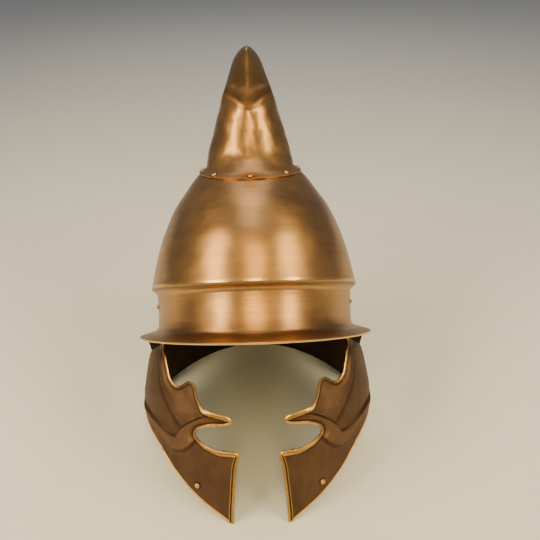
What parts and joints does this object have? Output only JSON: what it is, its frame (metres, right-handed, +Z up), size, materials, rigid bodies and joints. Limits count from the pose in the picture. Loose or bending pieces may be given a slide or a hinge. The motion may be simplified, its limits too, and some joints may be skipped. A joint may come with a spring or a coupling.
{
  "type": "phrygian helmet",
  "caption": "Bronze helmet with a forward-curling peak, ridged bowl, flared brim, neck guard and two hinged cheek pieces with raised moustache relief.",
  "frame": {"origin": "bottom centre of the bounding box, on the surface that the helmet stands on", "axes": "+Z up as it stands, face towards -Y, wearer's left towards +X; the helmet leans back on its neck guard edge and its two chin tips"},
  "size_m": [0.242, 0.3376, 0.3538],
  "materials": {
    "bowl_bronze": "brushed satin bronze with brown patina",
    "cheek_bronze": "dark brown patina with bright worn edges",
    "rivet_brass": "polished brass"
  },
  "bodies": {
    "helmet": {"skull_bowl": "bowl_bronze", "apex_cone": "bowl_bronze", "apex_rivet_1": "rivet_brass", "apex_rivet_2": "rivet_brass", "apex_rivet_3": "rivet_brass", "apex_rivet_4": "rivet_brass", "apex_rivet_5": "rivet_brass", "apex_rivet_6": "rivet_brass", "apex_rivet_7": "rivet_brass", "apex_rivet_8": "rivet_brass", "left_hinge_leaf": "bowl_bronze", "left_hinge_pin": "rivet_brass", "left_hinge_rivet_1": "rivet_brass", "left_hinge_rivet_2": "rivet_brass", "right_hinge_leaf": "bowl_bronze", "right_hinge_pin": "rivet_brass", "right_hinge_rivet_1": "rivet_brass", "right_hinge_rivet_2": "rivet_brass"},
    "left_cheek": {"left_cheek_piece": "cheek_bronze", "left_cheek_rivet": "rivet_brass"},
    "right_cheek": {"right_cheek_piece": "cheek_bronze", "right_cheek_rivet": "rivet_brass"}
  },
  "joints": [
    {"name": "left_cheek_swing", "type": "hinge", "parent": "helmet", "child": "left_cheek", "pos_m": [0.094, -0.01849, 0.10396], "axis": [0, -0.8171, 0.5764], "range_deg": [-7, 38]},
    {"name": "right_cheek_swing", "type": "hinge", "parent": "helmet", "child": "right_cheek", "pos_m": [-0.094, -0.01849, 0.10396], "axis": [0, 0.8171, -0.5764], "range_deg": [-7, 38]}
  ]
}
